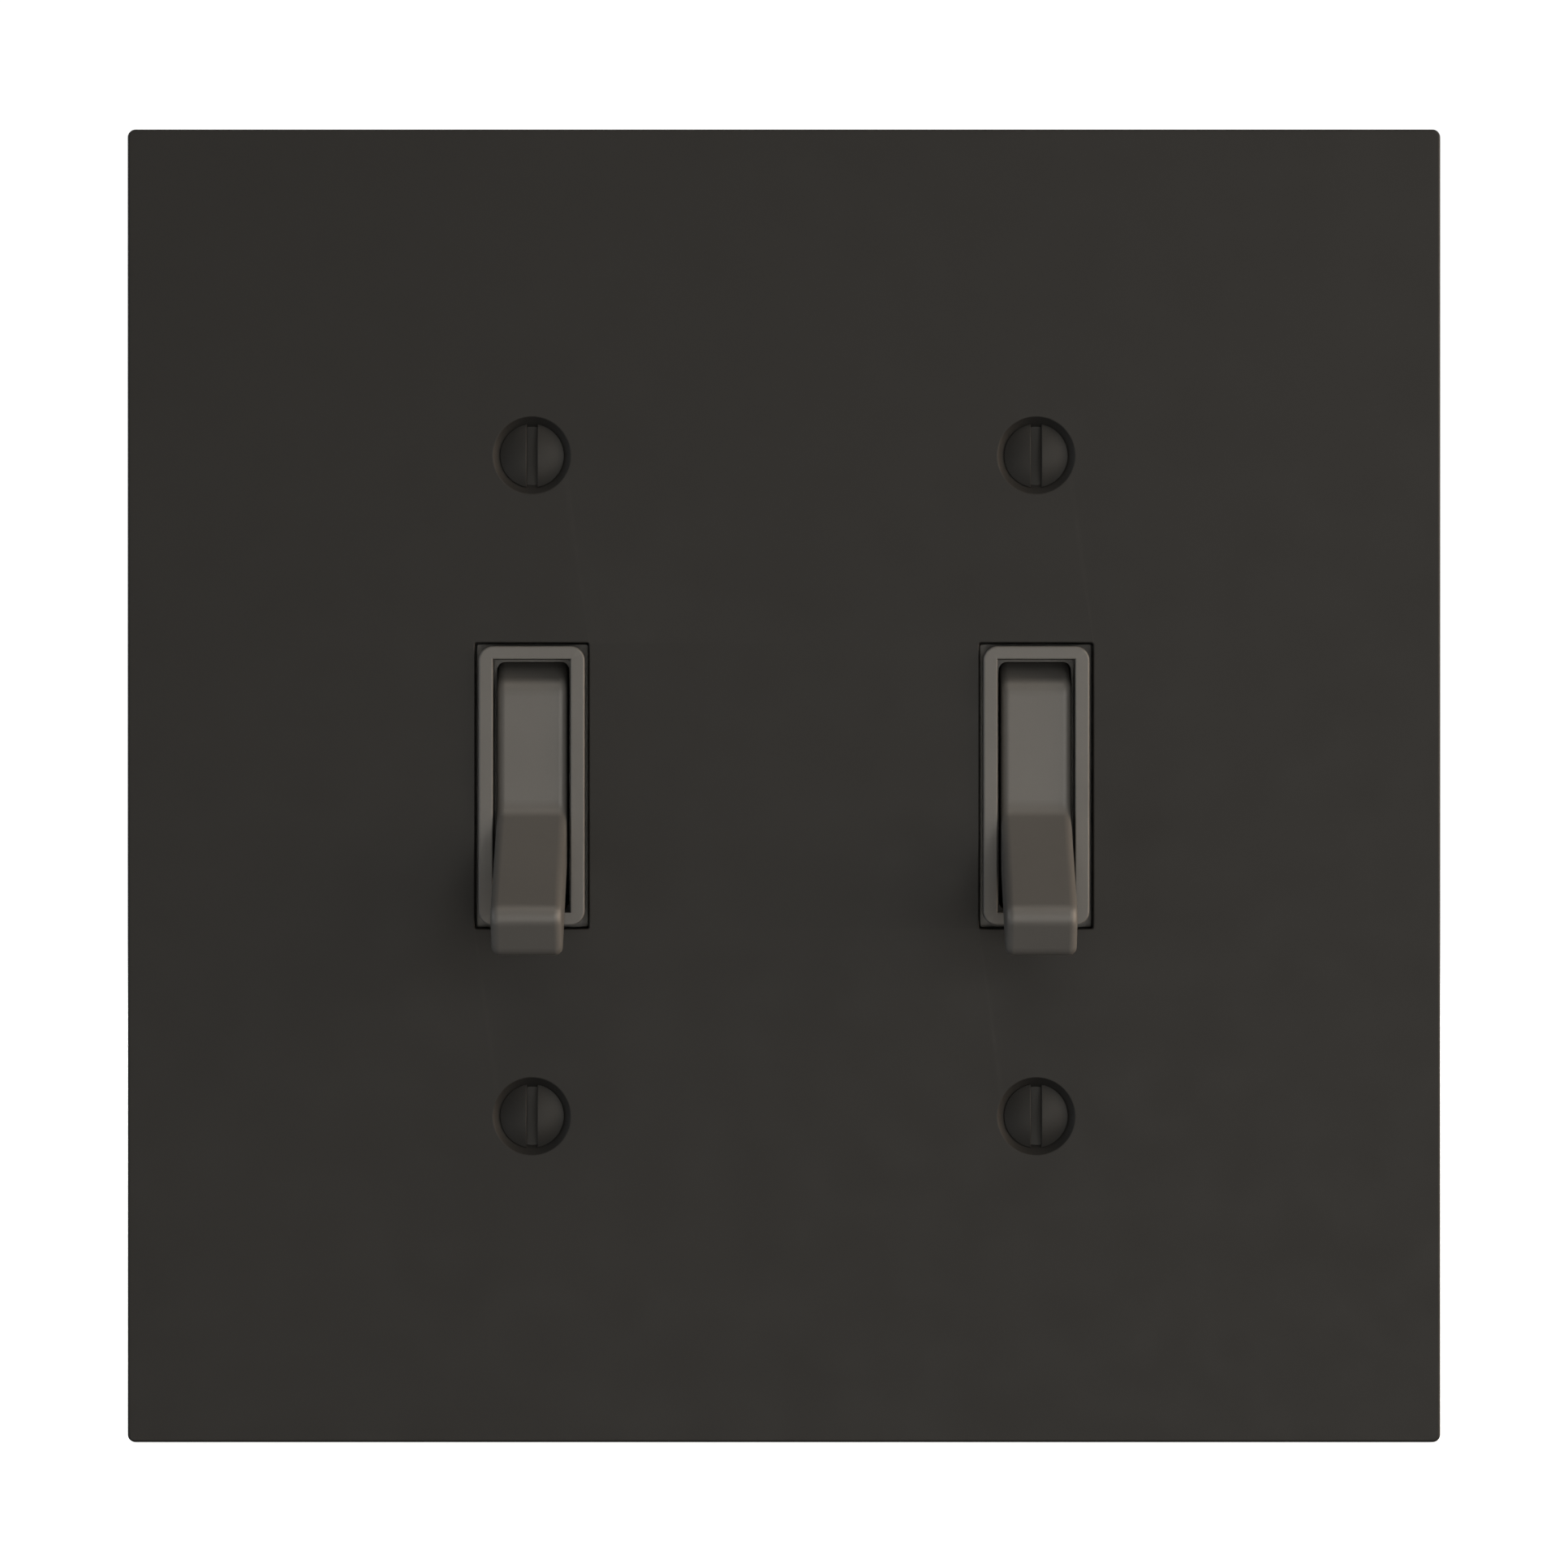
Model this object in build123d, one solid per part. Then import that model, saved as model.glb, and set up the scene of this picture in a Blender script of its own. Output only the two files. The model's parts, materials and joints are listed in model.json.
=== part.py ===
from build123d import *

import os
from math import cos, radians, sin, sqrt, tan

# Frame, in millimetres: the wall is the plane y = 0, the room is towards -Y, +Z is up,
# and the origin is on the wall in the middle of the cover plate.
INCH = 25.4

# Driving sizes
GANG_PITCH = 1.8125 * INCH  # between the two switches
PLATE_SCREW_PITCH = 2.375 * INCH  # between the two plate screws of one switch
BOX_SCREW_PITCH = 3.281 * INCH  # between the two box screws of one switch
HAIR = 0.03  # a gap just wide enough to keep two pieces apart
PAST = 1.0  # how far a cut runs past the face it opens

# Cover plate
PLATE_SIZE = 119.85
PLATE_DEPTH = 5.0
PLATE_FACE = 1.8  # thickness of the sheet behind the face
PLATE_RIM = 1.7
PLATE_CORNER_R = 0.7
PLATE_EDGE_R = 0.25
OPENING_EDGE_R = 0.15
WINDOW = (10.4, 26.1)  # opening for one collar, width and height
WINDOW_CORNER_R = 0.2
BOSS_R = 4.6
RIB_THICK = 1.2
RIB_HEIGHT = 100.0

# Number 6 machine screws, oval-headed through the plate and truss-headed through the strap
SCREW_MAJOR_R = 1.72  # a little under its hole
SCREW_HOLE_R = 1.75
SCREW_TIP_R = 1.2
SCREW_TIP = 0.6
SINK_MOUTH_R = 3.55
SINK_HOLE_R = 1.95
SINK_HALF_ANGLE = 41.0
HEAD_R = 2.985
HEAD_TRIM_R = 2.9  # of its edge, which leaves a fine groove round the head
HEAD_DOME = 0.67
SLOT_WIDTH = 0.97
SLOT_FLOOR = 0.37  # below the rim of the head
SLOT_EDGE_R = 0.07
PLATE_SCREW_END = 7.5
TRUSS_R = 3.4
TRUSS_TOP_R = 2.9
TRUSS_RIM = 0.7
TRUSS_HEIGHT = 1.5
TRUSS_SLOT = 1.1
TRUSS_SLOT_DEPTH = 0.75
BOX_SCREW_NECK_R = 1.55
BOX_SCREW_NECK_END = 0.6
BOX_SCREW_END = 20.0
RETAINER_SIZE = 8.0
RETAINER_CORNER_R = 0.6
RETAINER_THICK = 0.55
RETAINER_HOLE_R = 1.6

# Mounting strap
STRAP_THICK = 1.5
STRAP_HALF_HEIGHT = 52.5
STRAP_MIDDLE = (31.0, 55.0)
STRAP_CORNER_R = 1.5
STRAP_NECK = (21.0, 99.0)
STRAP_OPENING = (10.8, 26.8)
EAR = (34.0, 15.2)
EAR_CORNER_R = 4.0
EAR_HOLE_R = 2.0
EAR_HOLE_X = 14.0
EAR_HOLE_DROP = 4.6  # from the end of the strap
BREAK_LINE_X = 11.0
BREAK_LINE_DEPTH = 1.0
BREAK_LINE_WIDTH = 0.8
BOX_SLOT = (7.6, 4.0)
GROUND_TAB = ((-16.0, -8.0), (-36.0, -29.0))  # across and up, where it leaves the strap
GROUND_TAB_DEPTH = 9.0
GROUND_SCREW_SPOT = (4.5, -32.5)  # behind the strap's back, and up
RIVET_SPOT = (12.5, 22.5)
RIVET_R = 1.25
RIVET_HOLE_R = 1.3
RIVET_HEAD = (1.7, 2.2, 0.7)  # top radius, rim radius, height
RIVET_BORE_R = 0.7
RIVET_BORE_DEPTH = 3.0

# Front cover: flange under the strap, plinth in the window, collar and its ledge
COVER_FLANGE = 2.0
PLINTH = (10.12, 25.84)
PLINTH_FRONT = -3.2
COLLAR = (9.68, 25.46)
COLLAR_CORNER_R = 1.28
COLLAR_EDGE_R = 0.18
COLLAR_FRONT = -5.5
COLLAR_MOUTH = (7.08, 23.1)
MOUTH_EDGE_R = 0.12
LEDGE = -1.6  # where the mouth narrows to the slot of the rotor
SLOT_HALF_WIDTH = 3.32
COVER_SINK = 0.5  # how far plinth and collar reach into the flange

# Rear body
BODY_HALF_WIDTH = 16.5
BODY_HALF_HEIGHT = 26.0
BODY_CORNER_R = 2.0
BODY_EDGE_R = 0.8
BODY_BACK = 27.0
FLOOR = 25.2  # inside of the rear body
CHAMBER_HALF_WIDTH = 3.6
CHAMBER_HALF_HEIGHT = 24.0
CHEEK = 2.0  # walls each side of the chamber
SIDE_WALL = 2.0
POCKET_HALF_HEIGHT = 18.5
GRIP_GROOVES = (-16.0, -8.0, 0.0, 8.0, 16.0)
GRIP_GROOVE = (18.0, 1.0, 0.5)  # length, width, depth

# Toggle lever, with its pivot as origin and pointing straight out
PIVOT_Y = 3.0
LEVER_TILT = 33.0  # each side of straight out
LEVER_HALF_WIDTH = 3.2
LEVER_EDGE_R = 0.75
LEVER_TIP = (24.85, 2.65)  # how far out, and half the thickness there
LEVER_TIP_R = 1.45
LEVER_ROOT = (7.97, 2.4)
LEVER_ROOT_R = 1.8
ROTOR_R = 12.19
ROTOR_CLEAR = 0.08
CREST_ANGLE = 82.0  # of the rotor's rim, from the direction of the tip
CREST_R = 2.0
RIM_END_ANGLE = 106.0
TRUNNION_R = 2.0
TRUNNION_END_GAP = 0.2
BEARING_GAP = 0.05
TAIL_END = 12.5
TAIL_HALF_THICK = 2.3
TAIL_SHOULDER = (0.4, 2.9)  # behind the rim's end, and half the thickness there

# Spring and plunger in the tail
PLUNGER_R = 1.2
PLUNGER_TIP = 14.5  # from the pivot to the centre of the round tip
PLUNGER_BACK = 9.0
SPRING_SEAT = 4.0
SPRING_WIRE_R = 0.16
SPRING_TURNS = 5
SPRING_GAP = 0.06
SPRING_END_GAP = 0.02

# See-saw contact, drawn level with its fulcrum as origin
ROCKER_TILT = 7.0  # each side of level
BLADE = 0.9
BLADE_HALF_WIDTH = 2.5
SADDLE_HALF = 8.2
WING_END = 11.7
WING_LAP = 0.6
RIDE_GAP = 0.08  # between plunger tip and blade
HUB_HALF = 1.5
HUB_RISE = 0.15
NOTCH_R = 0.6  # of the groove that stands on the fulcrum
PIVOT_EDGE_R = 0.55
CONTACT_SPOT = 9.9  # from the fulcrum, along the blade
CONTACT_OFFSET = 0.4  # of the fixed contact, which the tilted blade meets further out
CONTACT_R = 1.4
CONTACT_THICK = 0.8
CONTACT_EDGE_R = 0.25
CONTACT_GAP = 0.06  # left between the contacts when closed

# Terminals
STRIP = 0.8
STRIP_HALF_WIDTH = 3.0
TERMINAL_Z = 14.0
TERMINAL_SCREW_Y = 16.0
TERMINAL_HOLE_R = 2.1  # through the side wall
PAD_FRONT = 11.0
PAD_HALF_WIDTH = 4.0
POST_HALF = 1.1
POST_STEP = 1.2
TABLE_REACH = 1.4
BINDING_HEAD_R = 3.7
BINDING_HEAD = 1.9
BINDING_EDGE_R = 0.5
BINDING_SLOT = (1.0, 6.0, 1.0)  # width, length, depth
TERMINAL_SCREW_LENGTH = 8.5
GROUND_SCREW_LENGTH = 7.0


def block(x, y, z):
    """A box from its lowest and highest corner on each axis."""
    size = [high - low for low, high in (x, y, z)]
    middle = [(high + low) / 2 for low, high in (x, y, z)]
    return Pos(*middle) * Box(*size)


def round_y(radius, y, x=0.0, z=0.0):
    """A cylinder along Y."""
    return Pos(x, sum(y) / 2, z) * Rot(90, 0, 0) * Cylinder(radius, y[1] - y[0])


def round_x(radius, x, y=0.0, z=0.0):
    """A cylinder along X."""
    return Pos(sum(x) / 2, y, z) * Rot(0, 90, 0) * Cylinder(radius, x[1] - x[0])


def cone_y(front_r, back_r, y, x=0.0, z=0.0):
    """A cone along Y, front_r at the end towards the room."""
    return Pos(x, sum(y) / 2, z) * Rot(90, 0, 0) * Cone(back_r, front_r, y[1] - y[0])


def slab(outline, y):
    """An outline drawn in X and Z, given thickness along Y."""
    sheet = Plane.XZ * outline
    return Pos(0, y[1], 0) * extrude(sheet, amount=y[1] - y[0])


def side_plate(outline, half_width):
    """An outline drawn in Y and Z, given thickness along X both ways."""
    return extrude(Plane.YZ * outline, amount=half_width, both=True)


def front_face(solid):
    return solid.faces().sort_by(Axis.Y)[0]


def corners(spot):
    """A place and its mirror images, in all four quarters."""
    return [(sx * spot[0], sz * spot[1]) for sx in (-1, 1) for sz in (-1, 1)]


# Cover plate and its screws


def plate_blank():
    """The open shell, its stiffening rib and the bosses of its screws."""
    blank = slab(RectangleRounded(PLATE_SIZE, PLATE_SIZE, PLATE_CORNER_R), (-PLATE_DEPTH, 0))
    blank = fillet(front_face(blank).edges(), PLATE_EDGE_R)
    inner = PLATE_SIZE / 2 - PLATE_RIM
    face_back = PLATE_FACE - PLATE_DEPTH
    blank -= block((-inner, inner), (face_back, PAST), (-inner, inner))
    behind = (face_back, -STRAP_THICK)
    blank += slab(Rectangle(RIB_THICK, RIB_HEIGHT), behind)
    for x, z in corners((GANG_PITCH / 2, PLATE_SCREW_PITCH / 2)):
        blank += round_y(BOSS_R, behind, x, z)
    return blank


def wall_plate():
    plate = plate_blank()
    sink_depth = (SINK_MOUTH_R - SINK_HOLE_R) / tan(radians(SINK_HALF_ANGLE))
    sink = (-PLATE_DEPTH, sink_depth - PLATE_DEPTH)
    for x, z in corners((GANG_PITCH / 2, PLATE_SCREW_PITCH / 2)):
        plate -= cone_y(SINK_MOUTH_R, SINK_HOLE_R, sink, x, z)
        plate -= round_y(SINK_HOLE_R, (-PLATE_DEPTH, PAST), x, z)
    for x in (-GANG_PITCH / 2, GANG_PITCH / 2):
        window = slab(RectangleRounded(*WINDOW, WINDOW_CORNER_R), (-PLATE_DEPTH - PAST, 0))
        plate -= Pos(x, 0, 0) * window
    mouths = [edge for wire in front_face(plate).inner_wires() for edge in wire.edges()]
    return fillet(mouths, OPENING_EDGE_R)


def plate_screw():
    """Oval-head slotted screw, its rim just under the face of the plate."""
    slope = tan(radians(SINK_HALF_ANGLE))
    rim = -PLATE_DEPTH + (SINK_MOUTH_R - HEAD_R) / slope - HAIR
    top = rim - HEAD_DOME
    dome_r = (HEAD_R**2 + HEAD_DOME**2) / (2 * HEAD_DOME)
    neck = rim + (HEAD_R - SCREW_MAJOR_R) / slope
    head = Pos(0, top + dome_r, 0) * Sphere(dome_r) & round_y(HEAD_R, (top, rim))
    head += cone_y(HEAD_R, SCREW_MAJOR_R, (rim, neck))
    half = SLOT_WIDTH / 2
    head -= block((-half, half), (top - PAST, rim + SLOT_FLOOR), (-HEAD_R - PAST, HEAD_R + PAST))
    lips = [edge for edge in head.edges() if edge.center().Y < rim and abs(edge.center().X) < SLOT_WIDTH]
    head = fillet(lips, SLOT_EDGE_R) & round_y(HEAD_TRIM_R, (top, neck))
    head += round_y(SCREW_MAJOR_R, (neck, PLATE_SCREW_END))
    return head + cone_y(SCREW_MAJOR_R, SCREW_TIP_R, (PLATE_SCREW_END, PLATE_SCREW_END + SCREW_TIP))


# Mounting strap and its fasteners


def strap_outline():
    outline = RectangleRounded(*STRAP_MIDDLE, STRAP_CORNER_R)
    outline += Rectangle(*STRAP_NECK)
    for z in (-1, 1):
        middle = z * (STRAP_HALF_HEIGHT - EAR[1] / 2)
        outline += Pos(0, middle) * RectangleRounded(*EAR, EAR_CORNER_R)
    across, up = GROUND_TAB
    tab = Rectangle(across[1] - across[0], up[1] - up[0])
    return outline + Pos(sum(across) / 2, sum(up) / 2) * tab


def mounting_strap():
    through = (-STRAP_THICK - PAST, PAST)
    strap = slab(strap_outline(), (-STRAP_THICK, 0))
    tab_left = GROUND_TAB[0][0]
    tab = (tab_left, tab_left + STRAP_THICK)
    strap += block(tab, (-STRAP_THICK, GROUND_TAB_DEPTH), GROUND_TAB[1])
    strap -= slab(RectangleRounded(*STRAP_OPENING, WINDOW_CORNER_R), through)
    for z in (-1, 1):
        strap -= round_y(SCREW_HOLE_R, through, 0, z * PLATE_SCREW_PITCH / 2)
        strap -= Pos(0, 0, z * BOX_SCREW_PITCH / 2) * slab(SlotOverall(*BOX_SLOT), through)
    groove = slab(Rectangle(BREAK_LINE_WIDTH, EAR[1] + 2 * PAST), (through[0], -BREAK_LINE_DEPTH))
    for x, z in corners((1, 1)):
        # where an ear snaps off, and the hole in it
        strap -= Pos(x * BREAK_LINE_X, 0, z * (STRAP_HALF_HEIGHT - EAR[1] / 2)) * groove
        strap -= round_y(EAR_HOLE_R, through, x * EAR_HOLE_X, z * (STRAP_HALF_HEIGHT - EAR_HOLE_DROP))
    for x, z in corners(RIVET_SPOT):
        strap -= round_y(RIVET_HOLE_R, through, x, z)
    return strap - round_x(SCREW_HOLE_R, (tab[0] - PAST, tab[1] + PAST), *GROUND_SCREW_SPOT)


def box_screw():
    """Truss-head slotted screw, with an unthreaded neck where it crosses the strap."""
    seat = -STRAP_THICK
    rim = seat - TRUSS_RIM
    top = seat - TRUSS_HEIGHT
    major = SCREW_HOLE_R
    screw = cone_y(TRUSS_TOP_R, TRUSS_R, (top, rim)) + round_y(TRUSS_R, (rim, seat))
    screw -= slab(Rectangle(2 * TRUSS_R + PAST, TRUSS_SLOT), (top - PAST, top + TRUSS_SLOT_DEPTH))
    screw += round_y(BOX_SCREW_NECK_R, (seat, BOX_SCREW_NECK_END))
    screw += round_y(major, (BOX_SCREW_NECK_END, BOX_SCREW_END))
    return screw + cone_y(major, SCREW_TIP_R, (BOX_SCREW_END, BOX_SCREW_END + SCREW_TIP))


def screw_retainer():
    """Square fibre washer that keeps a box screw in its slot."""
    washer = slab(RectangleRounded(RETAINER_SIZE, RETAINER_SIZE, RETAINER_CORNER_R), (HAIR, RETAINER_THICK))
    return washer - round_y(RETAINER_HOLE_R, (-PAST, PAST))


def body_rivet():
    """Tubular rivet through strap, cover and body, its bore open at the back."""
    top_r, rim_r, height = RIVET_HEAD
    rivet = round_y(RIVET_R, (-STRAP_THICK, BODY_BACK))
    rivet += cone_y(top_r, rim_r, (-STRAP_THICK - height, -STRAP_THICK))
    rivet += cone_y(rim_r, top_r, (BODY_BACK, BODY_BACK + height))
    return rivet - round_y(RIVET_BORE_R, (BODY_BACK - RIVET_BORE_DEPTH, BODY_BACK + PAST))


def body_rivets():
    return [Pos(x, 0, z) * body_rivet() for x, z in corners(RIVET_SPOT)]


def binding_screw(seat, length):
    """Terminal screw along X: its head outside x = seat, its shank towards the middle."""
    head = round_x(BINDING_HEAD_R, (seat, seat + BINDING_HEAD))
    head = fillet(head.edges().sort_by(Axis.X)[-1], BINDING_EDGE_R)
    width, reach, depth = BINDING_SLOT
    slot_floor = seat + BINDING_HEAD - depth
    slot = Pos((slot_floor + seat + BINDING_HEAD + PAST) / 2, 0, 0) * Box(depth + PAST, width, reach)
    head -= slot
    head -= Rot(90, 0, 0) * slot
    return head + round_x(SCREW_MAJOR_R, (seat - length, seat))


def terminal_screw(z):
    screw = binding_screw(BODY_HALF_WIDTH + STRIP, TERMINAL_SCREW_LENGTH)
    return Pos(0, TERMINAL_SCREW_Y, z) * screw


def ground_screw():
    screw = binding_screw(-GROUND_TAB[0][0], GROUND_SCREW_LENGTH)
    y, z = GROUND_SCREW_SPOT
    return Pos(0, y, z) * Rot(0, 0, 180) * screw


# Housing


def bearing_cut():
    """Space of the lever's two trunnions."""
    reach = CHAMBER_HALF_WIDTH + CHEEK
    return round_x(TRUNNION_R + BEARING_GAP, (-reach, reach), PIVOT_Y)


def rotor_slot():
    """Space that the rotor sweeps, rounded as its rim is."""
    swept = round_x(ROTOR_R + ROTOR_CLEAR, (-SLOT_HALF_WIDTH, SLOT_HALF_WIDTH))
    swept = fillet(swept.edges().filter_by(GeomType.CIRCLE), LEVER_EDGE_R)
    window = block((-SLOT_HALF_WIDTH, SLOT_HALF_WIDTH), (LEDGE, COVER_FLANGE), (-ROTOR_R, ROTOR_R))
    return Pos(0, PIVOT_Y, 0) * swept & window


def cover_blank():
    """Flange, plinth and collar, their openings not yet cut."""
    collar = slab(RectangleRounded(*COLLAR, COLLAR_CORNER_R), (COLLAR_FRONT, COVER_SINK))
    collar = fillet(front_face(collar).edges(), COLLAR_EDGE_R)
    plinth = slab(RectangleRounded(*PLINTH, WINDOW_CORNER_R), (PLINTH_FRONT, COVER_SINK))
    flange = RectangleRounded(2 * BODY_HALF_WIDTH, 2 * BODY_HALF_HEIGHT, BODY_CORNER_R)
    return collar + plinth + slab(flange, (0, COVER_FLANGE))


def front_cover():
    cover = cover_blank()
    cover -= slab(Rectangle(*COLLAR_MOUTH), (COLLAR_FRONT - PAST, LEDGE))
    cover = fillet(front_face(cover).inner_wires()[0].edges(), MOUTH_EDGE_R)
    cover -= rotor_slot()
    cover -= bearing_cut()
    for x, z in corners(RIVET_SPOT):
        cover -= round_y(RIVET_HOLE_R, (-PAST, COVER_FLANGE + PAST), x, z)
    return cover


def rear_body():
    outline = RectangleRounded(2 * BODY_HALF_WIDTH, 2 * BODY_HALF_HEIGHT, BODY_CORNER_R)
    body = slab(outline, (COVER_FLANGE, BODY_BACK))
    body = fillet(body.faces().sort_by(Axis.Y)[-1].edges(), BODY_EDGE_R)
    half = CHAMBER_HALF_WIDTH
    inside = (0, FLOOR)
    body -= block((-half, half), inside, (-CHAMBER_HALF_HEIGHT, CHAMBER_HALF_HEIGHT))
    outer = BODY_HALF_WIDTH - SIDE_WALL
    for low, high in ((-outer, -half - CHEEK), (half + CHEEK, outer)):
        body -= block((low, high), inside, (-POCKET_HALF_HEIGHT, POCKET_HALF_HEIGHT))
    body -= bearing_cut()
    seat = TRUNNION_R + BEARING_GAP
    body -= block((-half - CHEEK, half + CHEEK), (0, PIVOT_Y), (-seat, seat))
    for x, z in corners(RIVET_SPOT):
        body -= round_y(RIVET_HOLE_R, (0, BODY_BACK + PAST), x, z)
    for z in (-TERMINAL_Z, TERMINAL_Z):
        # the terminal strip leaves through the cheek and the side wall
        leave = STRIP_HALF_WIDTH + BEARING_GAP
        right = BODY_HALF_WIDTH + PAST
        body -= block((0, right), (FLOOR - STRIP - BEARING_GAP, FLOOR), (z - leave, z + leave))
        body -= round_x(TERMINAL_HOLE_R, (outer - PAST, right), TERMINAL_SCREW_Y, z)
    length, width, depth = GRIP_GROOVE
    groove = slab(Rectangle(length, width), (BODY_BACK - depth, BODY_BACK + PAST))
    for z in GRIP_GROOVES:
        body -= Pos(0, 0, z) * groove
    return body


# Toggle lever, spring and plunger


def on_rim(angle):
    return (-ROTOR_R * cos(radians(angle)), ROTOR_R * sin(radians(angle)))


def lever_outline():
    """Side view: half of shaft, rotor rim and tail, its mirror image, and rounded corners."""
    tip, root = (-LEVER_TIP[0], LEVER_TIP[1]), (-LEVER_ROOT[0], LEVER_ROOT[1])
    crest, rim_end = on_rim(CREST_ANGLE), on_rim(RIM_END_ANGLE)
    shoulder = (rim_end[0] + TAIL_SHOULDER[0], TAIL_SHOULDER[1])
    half = Polyline([(TAIL_END, 0), (TAIL_END, TAIL_HALF_THICK), shoulder, rim_end])
    half += ThreePointArc(rim_end, on_rim((CREST_ANGLE + RIM_END_ANGLE) / 2), crest)
    half += Polyline([crest, root, tip, (tip[0], 0)])
    half += Line((tip[0], 0), (TAIL_END, 0))
    upper = make_face(half)
    outline = upper + mirror(upper, Plane.XZ)
    for spot, radius in ((crest, CREST_R), (root, LEVER_ROOT_R), (tip, LEVER_TIP_R)):
        for side in (-1, 1):
            corner = Vector(spot[0], side * spot[1], 0)
            outline = fillet(outline.vertices().sort_by_distance(corner)[0], radius)
    return outline


def swing_to_rest(shape):
    """Turns a piece drawn straight out to the off position and sets it on the pivot."""
    return Pos(0, PIVOT_Y, 0) * Rot(LEVER_TILT, 0, 0) * shape


def toggle_lever():
    lever = side_plate(lever_outline(), LEVER_HALF_WIDTH)
    sides = lever.faces().sort_by(Axis.X)
    outside = on_rim(RIM_END_ANGLE)[0] - PAST / 2
    rounded = [edge for face in (sides[0], sides[-1]) for edge in face.edges() if edge.center().Y < outside]
    lever = fillet(rounded, LEVER_EDGE_R)
    reach = CHAMBER_HALF_WIDTH + CHEEK - TRUNNION_END_GAP
    lever += round_x(TRUNNION_R, (-reach, reach))
    lever -= round_y(PLUNGER_R + BEARING_GAP, (SPRING_SEAT, TAIL_END + PAST))
    return swing_to_rest(lever)


def detent_plunger():
    pin = round_y(PLUNGER_R, (PLUNGER_BACK, PLUNGER_TIP))
    return swing_to_rest(pin + Pos(0, PLUNGER_TIP, 0) * Sphere(PLUNGER_R))


def detent_spring():
    """Open coil spring between the bottom of the bore and the plunger."""
    end = SPRING_WIRE_R + SPRING_END_GAP
    length = PLUNGER_BACK - SPRING_SEAT - 2 * end
    coil_r = PLUNGER_R - SPRING_WIRE_R - SPRING_GAP
    path = Helix(pitch=length / SPRING_TURNS, height=length, radius=coil_r)
    wire = Plane(origin=path @ 0, z_dir=path % 0) * Circle(SPRING_WIRE_R)
    coil = Rot(-90, 0, 0) * sweep(wire, path=path)
    return swing_to_rest(Pos(0, SPRING_SEAT + end, 0) * coil)


# See-saw contact

FULCRUM_Y = PIVOT_Y + PLUNGER_TIP + PLUNGER_R + RIDE_GAP + 2 * BLADE


def saddle_radius():
    """Radius of the blade's hollow, from where the plunger's tip stands in it at both ends."""
    swing, tilt = radians(LEVER_TILT), radians(ROCKER_TILT)
    middle = PIVOT_Y + PLUNGER_TIP - FULCRUM_Y
    depth = PIVOT_Y + PLUNGER_TIP * cos(swing) - FULCRUM_Y
    side = PLUNGER_TIP * sin(swing)
    end_y = depth * cos(tilt) - side * sin(tilt)
    end_z = depth * sin(tilt) + side * cos(tilt)
    rise = middle - end_y
    return (end_z**2 + rise**2) / (2 * rise) + PLUNGER_R + RIDE_GAP


SADDLE_R = saddle_radius()
SADDLE_CENTRE = -2 * BLADE - SADDLE_R
WING_FRONT = SADDLE_CENTRE + sqrt(SADDLE_R**2 - SADDLE_HALF**2)


def level_blade():
    """Curved saddle, the wing that carries the contact, and the hub over the fulcrum."""
    width = (-BLADE_HALF_WIDTH, BLADE_HALF_WIDTH)
    blade = round_x(SADDLE_R + BLADE, width, SADDLE_CENTRE)
    blade &= block(width, (WING_FRONT, PAST), (-SADDLE_HALF, SADDLE_HALF))
    blade += block(width, (WING_FRONT, WING_FRONT + BLADE), (-WING_END, -SADDLE_HALF + WING_LAP))
    blade += block(width, (-BLADE - HUB_RISE, 0), (-HUB_HALF, HUB_HALF))
    blade -= round_x(SADDLE_R, width, SADDLE_CENTRE)
    return blade - round_x(NOTCH_R, width)


def rock_to_rest(shape, tilt=ROCKER_TILT):
    """Tips a level piece of the see-saw, its upper end towards the back, on its fulcrum."""
    return Pos(0, FULCRUM_Y, 0) * Rot(-tilt, 0, 0) * shape


def contact_rocker():
    return rock_to_rest(level_blade())


def contact_button(front, z):
    return round_y(CONTACT_R, (front, front + CONTACT_THICK), 0, z)


def level_contact():
    button = contact_button(WING_FRONT + BLADE, -CONTACT_SPOT)
    return fillet(button.edges().sort_by(Axis.Y)[-1], CONTACT_EDGE_R)


def moving_contact():
    return rock_to_rest(level_contact())


# how far back the moving contact reaches, at the closed end of its swing
CLOSED_Y = rock_to_rest(level_contact(), -ROCKER_TILT).bounding_box().max.Y


def fixed_contact():
    button = contact_button(CLOSED_Y + CONTACT_GAP, -CONTACT_SPOT - CONTACT_OFFSET)
    return fillet(button.edges().sort_by(Axis.Y)[0], CONTACT_EDGE_R)


# Terminals


def terminal_lead(z):
    """Strip along the floor, out through the side, and the pad for the wire."""
    side = BODY_HALF_WIDTH
    along = (z - STRIP_HALF_WIDTH, z + STRIP_HALF_WIDTH)
    lead = block((-BLADE_HALF_WIDTH, side + STRIP), (FLOOR - STRIP, FLOOR), along)
    lead += block((side, side + STRIP), (PAD_FRONT, FLOOR), (z - PAD_HALF_WIDTH, z + PAD_HALF_WIDTH))
    return lead - round_x(SCREW_HOLE_R, (side - PAST, side + PAST), TERMINAL_SCREW_Y, z)


def common_terminal():
    """Carries the fulcrum of the see-saw on a post."""
    half = BLADE_HALF_WIDTH - TRUNNION_END_GAP
    floor = FLOOR - STRIP
    terminal = terminal_lead(TERMINAL_Z)
    terminal += block((-BLADE_HALF_WIDTH, BLADE_HALF_WIDTH), (floor, FLOOR), (-STRIP_HALF_WIDTH, TERMINAL_Z))
    terminal += round_x(PIVOT_EDGE_R, (-half, half), FULCRUM_Y)
    terminal += block((-half, half), (FULCRUM_Y, floor), (-PIVOT_EDGE_R, PIVOT_EDGE_R))
    return terminal + block((-half, half), (FULCRUM_Y + POST_STEP, floor), (-POST_HALF, POST_HALF))


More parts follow.
